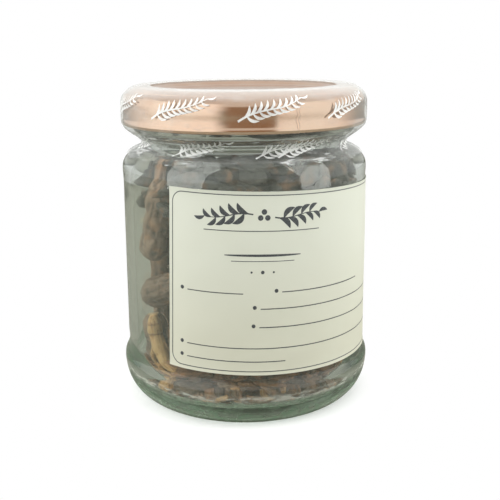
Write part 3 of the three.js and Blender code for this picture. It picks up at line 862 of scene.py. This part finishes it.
barkTones = {
    # painted shade: near-black bark for the bits that fill the jar's shaded top
    "shade": {"furrow": (0.016, 0.015, 0.013), "body": (0.042, 0.038, 0.033), "ridge": (0.085, 0.074, 0.062)},
    "dark": {"furrow": (0.024, 0.015, 0.01), "body": (0.082, 0.052, 0.036), "ridge": (0.18, 0.118, 0.078)},
    "red": {"furrow": (0.042, 0.02, 0.009), "body": (0.15, 0.07, 0.034), "ridge": (0.3, 0.155, 0.075)},
    "tan": {"furrow": (0.1, 0.045, 0.014), "body": (0.33, 0.175, 0.062), "ridge": (0.56, 0.36, 0.15)},
}
kindTones = {
    "whole_root": ["dark", "red", "dark"],
    "root_piece": ["red", "dark"],
    "cut_piece": ["tan", "red", "dark"],
    "rootlet": ["tan", "red", "dark"],
}
frontTones = {  # the roots placed where they can be seen
    "whole_root_front": "dark",
    "whole_root_left": "dark",
    "root_piece_front": "dark",
    "root_piece_back_left": "dark",
    "root_piece_low_left": "red",
    "root_piece_low_front": "dark",
    "root_piece_low_right": "red",
    "rootlet_front": "tan",
}


def barkFinish(name, tones):
    finish = Finish(name + " root bark")
    furrow, cut, tone = finish.written("furrow"), finish.written("cut"), finish.written("tone")
    fine = finish.noise(0.45, 5, 0.65)
    patch = finish.noise(4.5, 3, 0.6)
    flow = finish.node("ShaderNodeAttribute", {"attribute_name": "flow"}, output=1)
    wrinkle = finish.noise(0.9, 3, 0.6, at=flow)
    height = (furrow + 0.35 * (fine - 0.5) + 1.1 * (wrinkle - 0.5)).clamped()
    # darker in the furrows and lighter on the ridges, following the bark's height
    colour = finish.mix(height.above(0.18, 0.55), tones["furrow"], tones["body"])
    colour = finish.mix(height.above(0.55, 0.95), colour, tones["ridge"])
    orange = tuple(0.5 * (a + b) for a, b in zip(tones["ridge"], roots["orange"]))
    colour = finish.mix(0.55 * patch.above(0.5, 0.68), colour, orange)
    dusty = finish.noise(1.3, 4, 0.7).above(0.56, 0.7)
    colour = finish.mix(0.16 * dusty * height, colour, roots["dust"])
    colour = finish.mix(0.45 * tone, colour, tones["furrow"])
    core = finish.mix(finish.noise(0.9, 4, 0.7), roots["coreDark"], roots["corePale"])
    colour = finish.mix(cut.above(0.3, 0.7), colour, core)
    normal = finish.bump(0.6 * fine + 1.6 * wrinkle, 0.22, 0.9)
    bark = finish.node("ShaderNodeBsdfPrincipled", None, {
        "Base Color": colour, "Roughness": 0.74 - 0.2 * height, "Specular IOR Level": 0.45,
        "Normal": normal,
    })
    return finish.output(bark)


def skinOf(node, kind):  # a fine, rounded copy of a packed root
    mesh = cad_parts[node].data.copy()
    body = bmesh.new()
    body.from_mesh(mesh)
    bmesh.ops.remove_doubles(body, verts=body.verts, dist=1e-6)
    body.to_mesh(mesh)
    body.free()
    holder = bpy.data.objects.new("rough", mesh)
    bpy.context.scene.collection.objects.link(holder)
    skin = holder.modifiers.new("skin", "REMESH")
    skin.mode = "VOXEL"
    skin.voxel_size = roots["voxel"][kind] * mm * (1 if node in frontTones else roots["hiddenCoarser"])
    ease = holder.modifiers.new("ease", "SMOOTH")
    ease.factor = 0.5
    ease.iterations = roots["easing"][kind]
    made = bpy.data.meshes.new_from_object(holder.evaluated_get(bpy.context.evaluated_depsgraph_get()))
    bpy.data.objects.remove(holder)
    made.materials.clear()
    return made


def spineOf(points, normals, tree):  # a root's middle line: centres, ways and runs from the head
    pick = np.linspace(0, len(points) - 1, min(roots["samples"], len(points))).astype(int)
    centres, radii = [], []
    for at, out in zip(points[pick], normals[pick]):
        hit = tree.ray_cast(Vector(at - out * 0.05), Vector(-out))
        reach = hit[3] if hit[0] is not None else 1.0
        centres.append(at - out * reach / 2)
        radii.append(max(0.4, reach / 2))
    centres = np.array(centres)
    typical = float(np.median(radii))
    apart = np.linalg.norm(centres[:, None] - centres[None], axis=2)
    near = np.exp(-(apart / (2.2 * typical)) ** 2)
    mean = near @ centres / near.sum(1, keepdims=True)
    off = centres[None] - mean[:, None]
    spread = np.einsum("ij,ijk,ijl->ikl", near, off, off)
    ways = np.linalg.eigh(spread)[1][:, :, 2]
    axis = np.linalg.eigh(np.cov(centres.T))[1][:, 2]
    along = centres @ axis
    low, high = np.quantile(along, [0.3, 0.7])
    wide = []
    for end in (centres[along < low], centres[along > high]):
        away = end - end.mean(0)
        wide.append(float(np.linalg.norm(away - np.outer(away @ axis, axis), axis=1).mean()))
    if wide[0] > wide[1]:  # the forks are at the far end
        axis = -axis
        along = -along
    ways *= np.sign(ways @ axis)[:, None] + (ways @ axis == 0)[:, None]
    return mean, ways, along - along.min(), typical


def barkShape(points, normals, kind, tree, seed):  # moves a root's skin into furrows, rings and lumps
    centres, ways, runs, typical = spineOf(points, normals, tree)
    apart = ((points[:, None, :] - centres[None]) ** 2).sum(2)
    weight = np.exp(-apart / (1.3 * typical) ** 2) + 1e-12
    weight /= weight.sum(1, keepdims=True)
    way = weight @ ways
    way /= np.linalg.norm(way, axis=1, keepdims=True)
    centre = weight @ centres
    run = weight @ runs + ((points - centre) * way).sum(1)
    outward = points - centre
    outward -= (outward * way).sum(1, keepdims=True) * way
    size = np.linalg.norm(outward, axis=1, keepdims=True)
    local = np.clip(size[:, 0] / 4.5, 0.22, 1.15)
    squashed = outward + way * run[:, None] * 0.16 + seed
    long = 1 - 2.2 * np.abs(grain(squashed * 0.62 / np.clip(typical / 4, 0.5, 1), seed))
    finer = 1 - 2.2 * np.abs(grain(squashed * 1.25, seed + 1))
    wobble = grain(points * 0.3 + seed, seed + 2)
    line = np.stack([run * 0.85 + wobble * 0.9, np.full_like(run, seed * 1.7), np.zeros_like(run)], 1)
    ring = 1 - 2.6 * np.abs(grain(line, seed + 3))
    headward = np.clip(1.25 - run / 16, 0.25, 1)
    lump = grain(points * 0.2 + seed, seed + 4)
    small = grain(points * 0.75 + seed, seed + 5)
    cut = np.clip((np.abs((normals * way).sum(1)) - 0.72) * 5, 0, 1)
    if kind != "cut_piece":
        cut *= 0.5
    keep = 1 - 0.8 * cut
    height = roots["furrowDepth"] * (0.75 * np.clip(long, -1.2, 1) + 0.35 * np.clip(finer, -1.2, 1))
    height += roots["ringDepth"] * headward * np.clip(ring, -1, 1) + 0.1 * small
    shift = keep * local * (height + roots["lumpDepth"] * lump) + roots["puffed"]
    moved = points + normals * shift[:, None]
    furrow = np.clip(0.5 + height / (2.1 * roots["furrowDepth"]) + 0.15 * lump, 0, 1)
    return moved, furrow, cut, squashed


def fibreTubes(points, normals, count, random):  # thin broken fibres that stand off a root
    tubes, faces = [], []
    sides, steps = roots["fibreSides"], roots["fibreSteps"]
    turn = np.linspace(0, 2 * math.pi, sides, endpoint=False)
    t = np.linspace(0, 1, steps + 1)[:, None]
    for _ in range(count):
        at = int(random.integers(len(points)))
        length = random.uniform(2.5, 8.5)
        thick = random.uniform(0.12, 0.3)
        drift = random.normal(size=3) * 0.8
        heading = normals[at] * 0.55 + drift
        heading /= np.linalg.norm(heading)
        curl = random.normal(size=3) * 0.5
        route = heading * t + curl * t ** 2 * 0.5 + (0, 0, -0.2) * t ** 2
        line = points[at] - normals[at] * 0.3 + length * route
        reach = np.hypot(line[:, 0], line[:, 1]).max()
        lowest, highest = line[:, 2].min(), line[:, 2].max()
        tooFar = reach > roots["wallRadius"] - 0.4 or highest > roots["fibreTop"]
        if tooFar or lowest < glass["floorTop"] + 0.4:
            continue
        across = np.cross(heading, (0.3, 0.5, 0.8))
        across /= np.linalg.norm(across)
        other = np.cross(heading, across)
        first = sum(len(part) for part in tubes)
        circle = np.cos(turn)[:, None] * across + np.sin(turn)[:, None] * other
        rings = [spot + thick * (1 - 0.75 * share) * circle for spot, share in zip(line, t[:, 0])]
        tubes.append(np.vstack(rings))
        for k in range(steps):
            for j in range(sides):
                a, b = first + k * sides + j, first + k * sides + (j + 1) % sides
                faces.append((a, b, b + sides, a + sides))
        faces.append(tuple(first + j for j in range(sides))[::-1])
        faces.append(tuple(first + steps * sides + j for j in range(sides)))
    return (np.vstack(tubes) if tubes else np.zeros((0, 3))), faces


def coordinates(mesh, what):
    values = np.zeros(len(mesh.vertices) * 3, np.float32)
    mesh.vertices.foreach_get(what, values)
    return values.reshape(-1, 3).astype(float)


def keepNumber(mesh, name, values):
    mesh.attributes.new(name, "FLOAT", "POINT").data.foreach_set("value", np.asarray(values, np.float32))


def keepFlow(mesh, values):  # where the lengthwise wrinkles are read, in metres
    store = mesh.attributes.new("flow", "FLOAT_VECTOR", "POINT")
    store.data.foreach_set("vector", np.asarray(values * mm, np.float32).ravel())


def kindOf(node):
    return next(kind for kind in kindTones if node.startswith(kind))


rootTrees = []


def driedRoot(node, finish, seed):
    kind = kindOf(node)
    random = np.random.default_rng(seed)
    mesh = skinOf(node, kind)
    points, normals = coordinates(mesh, "co") / mm, coordinates(mesh, "normal")
    faces = [tuple(face.vertices) for face in mesh.polygons]
    tree = BVHTree.FromPolygons([tuple(p) for p in points], faces)
    rootTrees.append(tree)
    moved, furrow, cut, flow = barkShape(points, normals, kind, tree, seed)
    reach = np.hypot(moved[:, 0], moved[:, 1])
    limit = np.minimum(roots["wallRadius"], radiusAt(glassInside, moved[:, 2]) - 0.35)
    squeeze = np.minimum(1, limit / np.maximum(reach, 1))
    moved[:, :2] *= squeeze[:, None]
    moved[:, 2] = np.maximum(moved[:, 2], glass["floorTop"] + 0.12)
    tubes, tubeFaces = fibreTubes(moved, normals, roots["fibres"][kind], random)
    tone = random.uniform(0, 1)
    base = len(moved)
    whole = bpy.data.meshes.new(node + "_bark")
    allFaces = faces + [tuple(base + k for k in face) for face in tubeFaces]
    whole.from_pydata([tuple(p) for p in np.vstack([moved, tubes]) * mm], [], allFaces)
    whole.polygons.foreach_set("use_smooth", [True] * len(whole.polygons))
    keepNumber(whole, "furrow", np.concatenate([furrow, np.full(len(tubes), 0.7)]))
    keepNumber(whole, "cut", np.concatenate([cut, np.zeros(len(tubes))]))
    keepNumber(whole, "tone", np.full(len(moved) + len(tubes), tone))
    keepFlow(whole, np.vstack([flow, tubes]))
    whole.materials.append(finish)
    piece = bpy.data.objects.new(node + "_bark", whole)
    bpy.context.scene.collection.objects.link(piece)
    bpy.data.meshes.remove(mesh)
    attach(piece, "root")
    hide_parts(node)
    "rootlet_bark" if kind == "rootlet" else "root_bark"
    return len(whole.polygons)


def allRoots():
    finishes = {name: barkFinish(name, tones) for name, tones in barkTones.items()}
    nodes = sorted(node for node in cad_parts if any(node.startswith(kind) for kind in kindTones))
    faces = 0
    for seed, node in enumerate(nodes):
        tones = kindTones[kindOf(node)]
        ending = node.rsplit("_", 1)[1]
        tone = frontTones.get(node) or tones[(int(ending) - 1) % len(tones)]
        faces += driedRoot(node, finishes[tone], seed + 1)
    print("jar: roots,", len(nodes), "pieces and", faces, "faces")
    return finishes


def gapAt(spot):  # how far a point is from the nearest root
    return min(tree.find_nearest(spot)[3] or 0 for tree in rootTrees)


def looseRoot(name, bits, finish, seed):  # small broken bits that lie on the roots, the floor or the glass
    random = np.random.default_rng(seed)
    ball = bmesh.new()
    bmesh.ops.create_icosphere(ball, subdivisions=2, radius=1)
    shape = np.array([v.co for v in ball.verts])
    ballFaces = np.array([[v.index for v in face.verts] for face in ball.faces])
    ball.free()
    nearest, farthest = bits["radius"]
    placed = np.full((1, 4), 999.0)  # place and size of each bit, after one that is far off
    points, faces = [], []
    for _ in range(bits["count"]):
        size = random.uniform(*bits["size"])
        far = math.sqrt(random.uniform(nearest ** 2, farthest ** 2))
        turn = math.radians(random.uniform(*bits["degrees"]))
        z = random.uniform(*bits["height"])
        if name == "root_crumbs":
            z = glass["floorTop"] + max(0.0, far - 29.6) * 0.5 + size * 0.5
        spot = np.array([far * math.sin(turn), -far * math.cos(turn), z])
        gap = gapAt(Vector(spot))
        apart = (np.linalg.norm(placed[:, :3] - spot, axis=1) / (placed[:, 3] + size)).min()
        held = gap < size or z - glass["floorTop"] < 1.2 * size or apart < 0.8
        if gap < 0.25 * size or apart < 0.45 or not held:
            continue
        placed = np.vstack([placed, [*spot, size]])
        long = np.array([math.cos(turn), math.sin(turn), 0]) + random.normal(size=3) * (0.5, 0.5, 0.3)
        spin = np.linalg.qr(np.column_stack([long, random.normal(size=(3, 2))]))[0]
        stretch = size * np.array([random.uniform(*bounds) for bounds in roots["bitStretch"]])
        lumpy = 1 + 0.3 * grain(shape * 1.5 + random.uniform(0, 50), seed)
        made = (shape * lumpy[:, None] * stretch) @ spin.T + spot
        reach = np.hypot(made[:, 0], made[:, 1])
        limit = np.minimum(roots["wallRadius"], radiusAt(glassInside, made[:, 2]) - 0.3)
        made[:, :2] *= np.minimum(1, limit / np.maximum(reach, 1))[:, None]
        made[:, 2] = np.maximum(made[:, 2], glass["floorTop"] + 0.1)
        faces.append(ballFaces + len(points) * len(shape))
        points.append(made)
    points, faces = np.vstack(points), np.vstack(faces)
    piece = meshPiece(name, points, faces.tolist(), finish)
    spots = coordinates(piece.data, "co") / mm
    keepNumber(piece.data, "furrow", 0.5 + 0.35 * grain(spots * 1.1, 5))
    keepNumber(piece.data, "cut", np.zeros(len(spots)))
    keepNumber(piece.data, "tone", np.clip(0.5 + 0.5 * grain(spots * 0.3, 6), 0, 1))
    keepFlow(piece.data, spots)
    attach(piece, "root")


barkFinishes = allRoots()
for bitSeed, (bitName, bitValues) in enumerate(looseBits.items()):
    looseRoot(bitName, bitValues, barkFinishes[bitValues["tone"]], firstBitSeed + bitSeed)
print("jar: loose bits")


# The floor and the light
studio = {
    "floorMetres": 6.0,
    "floorDrop": -0.00002,  # in metres, so that the floor is clear of the foot
    "fadeMetres": (0.026, 0.047),
    "pale": (0.93, 0.93, 0.92),
    "grey": (0.215, 0.215, 0.18),
    "worldSeen": (1.0, 1.0, 1.0),
    "worldGlow": (0.262, 0.275, 0.258),
    "worldShine": (0.66, 0.66, 0.65),
    "lamps": {
        "left softbox": {"at": (-0.75, -0.45, 0.55), "size": (0.7, 0.9), "watts": 11.0},
        "right softbox": {"at": (0.8, -0.25, 0.45), "size": (0.6, 0.9), "watts": 9.0},
        "top softbox": {"at": (0.0, 0.15, 0.95), "size": (0.9, 0.7), "watts": 8.0},
    },
    "aimMetres": (0, 0, 0.045),
    "cardMetres": 0.62,
    "cardColumns": 121,
    "cards": {  # which way each lies, how wide its soft ends are, how high it stands and what it glows with
        "left_card": {
            "degrees": (-165, -15), "soft": (95, 14), "metres": (-0.05, 0.5), "glow": (1.17, 1.23, 1.27),
        },
        "right_card": {
            "degrees": (28, 140), "soft": (2, 60), "metres": (-0.05, 0.5), "glow": (1.0, 1.04, 1.06),
        },
        "brown_card": {
            "degrees": (-21, 28), "soft": (10, 1), "metres": (-0.2, 0.24), "glow": (0.27, 0.165, 0.08),
        },
    },
}


def studioFloor():
    finish = Finish("pale studio floor")
    seen = finish.node("ShaderNodeLightPath", output=0)
    pale = finish.node("ShaderNodeBsdfDiffuse", None, {"Color": studio["pale"]})
    grey = finish.node("ShaderNodeBsdfDiffuse", None, {"Color": studio["grey"]})
    white = finish.node("ShaderNodeEmission", None, {"Color": studio["worldSeen"]})
    distance = finish.node("ShaderNodeVectorMath", {"operation": "LENGTH"}, {0: finish.place()}, output=1)
    far = distance.above(*studio["fadeMetres"])
    material = finish.output(finish.blend(seen, grey, finish.blend(far, pale, white)))
    half = studio["floorMetres"] / 2 / mm
    corners = [(-half, -half, 0), (half, -half, 0), (half, half, 0), (-half, half, 0)]
    floor = meshPiece("studio_floor", corners, [(0, 1, 2, 3)], material, smooth=False)
    floor.location.z = studio["floorDrop"]


def studioCard(name, card):  # a curved card round the jar, which shows only as a reflection
    finish = Finish(name + " paint")
    glow = finish.node("ShaderNodeEmission", None, {"Color": card["glow"]})
    bare = finish.node("ShaderNodeBsdfTransparent")
    edged = finish.blend(finish.written("fade"), bare, glow)
    count = studio["cardColumns"]
    angle = np.radians(np.linspace(*card["degrees"], count))
    radius = np.full_like(angle, studio["cardMetres"] / mm)
    low, high = (around(radius, angle, z / mm) for z in card["metres"])
    points = np.stack([low, high], 1).reshape(-1, 3)
    piece = meshPiece(name, points, gridFaces(count, 2), finish.output(edged))
    spots = coordinates(piece.data, "co")
    found = np.degrees(np.arctan2(spots[:, 0], -spots[:, 1]))
    start, end = card["degrees"]
    firstSoft, lastSoft = card["soft"]
    fade = np.clip(np.minimum((found - start) / firstSoft, (end - found) / lastSoft), 0, 1)
    keepNumber(piece.data, "fade", fade * fade * (3 - 2 * fade))
    piece.visible_camera = False
    piece.visible_diffuse = False
    piece.visible_transmission = False
    piece.visible_shadow = False


def softLight():
    for name, lamp in studio["lamps"].items():
        data = bpy.data.lights.new(name, "AREA")
        data.shape = "RECTANGLE"
        data.size, data.size_y = lamp["size"]
        data.energy = lamp["watts"]
        holder = bpy.data.objects.new(name, data)
        bpy.context.scene.collection.objects.link(holder)
        holder.location = lamp["at"]
        way = Vector(studio["aimMetres"]) - holder.location
        holder.rotation_euler = way.to_track_quat("-Z", "Y").to_euler()
        holder.visible_camera = False
        holder.visible_glossy = False
    world = bpy.data.worlds.new("pale room")
    bpy.context.scene.world = world
    world.use_nodes = True
    nodes, links = world.node_tree.nodes, world.node_tree.links
    nodes.clear()
    path = nodes.new("ShaderNodeLightPath")
    made = None
    for ray, glow in ((None, "worldGlow"), ("Is Glossy Ray", "worldShine"), ("Is Camera Ray", "worldSeen")):
        light = nodes.new("ShaderNodeBackground")
        light.inputs["Color"].default_value = (*studio[glow], 1)
        if ray:
            mix = nodes.new("ShaderNodeMixShader")
            links.new(path.outputs[ray], mix.inputs[0])
            links.new(made, mix.inputs[1])
            links.new(light.outputs[0], mix.inputs[2])
            made = mix.outputs[0]
        else:
            made = light.outputs[0]
    links.new(made, nodes.new("ShaderNodeOutputWorld").inputs["Surface"])
    bpy.context.scene.view_settings.view_transform = "Standard"


studioFloor()
for cardName, cardValues in studio["cards"].items():
    studioCard(cardName, cardValues)
softLight()
print("jar: floor and light")
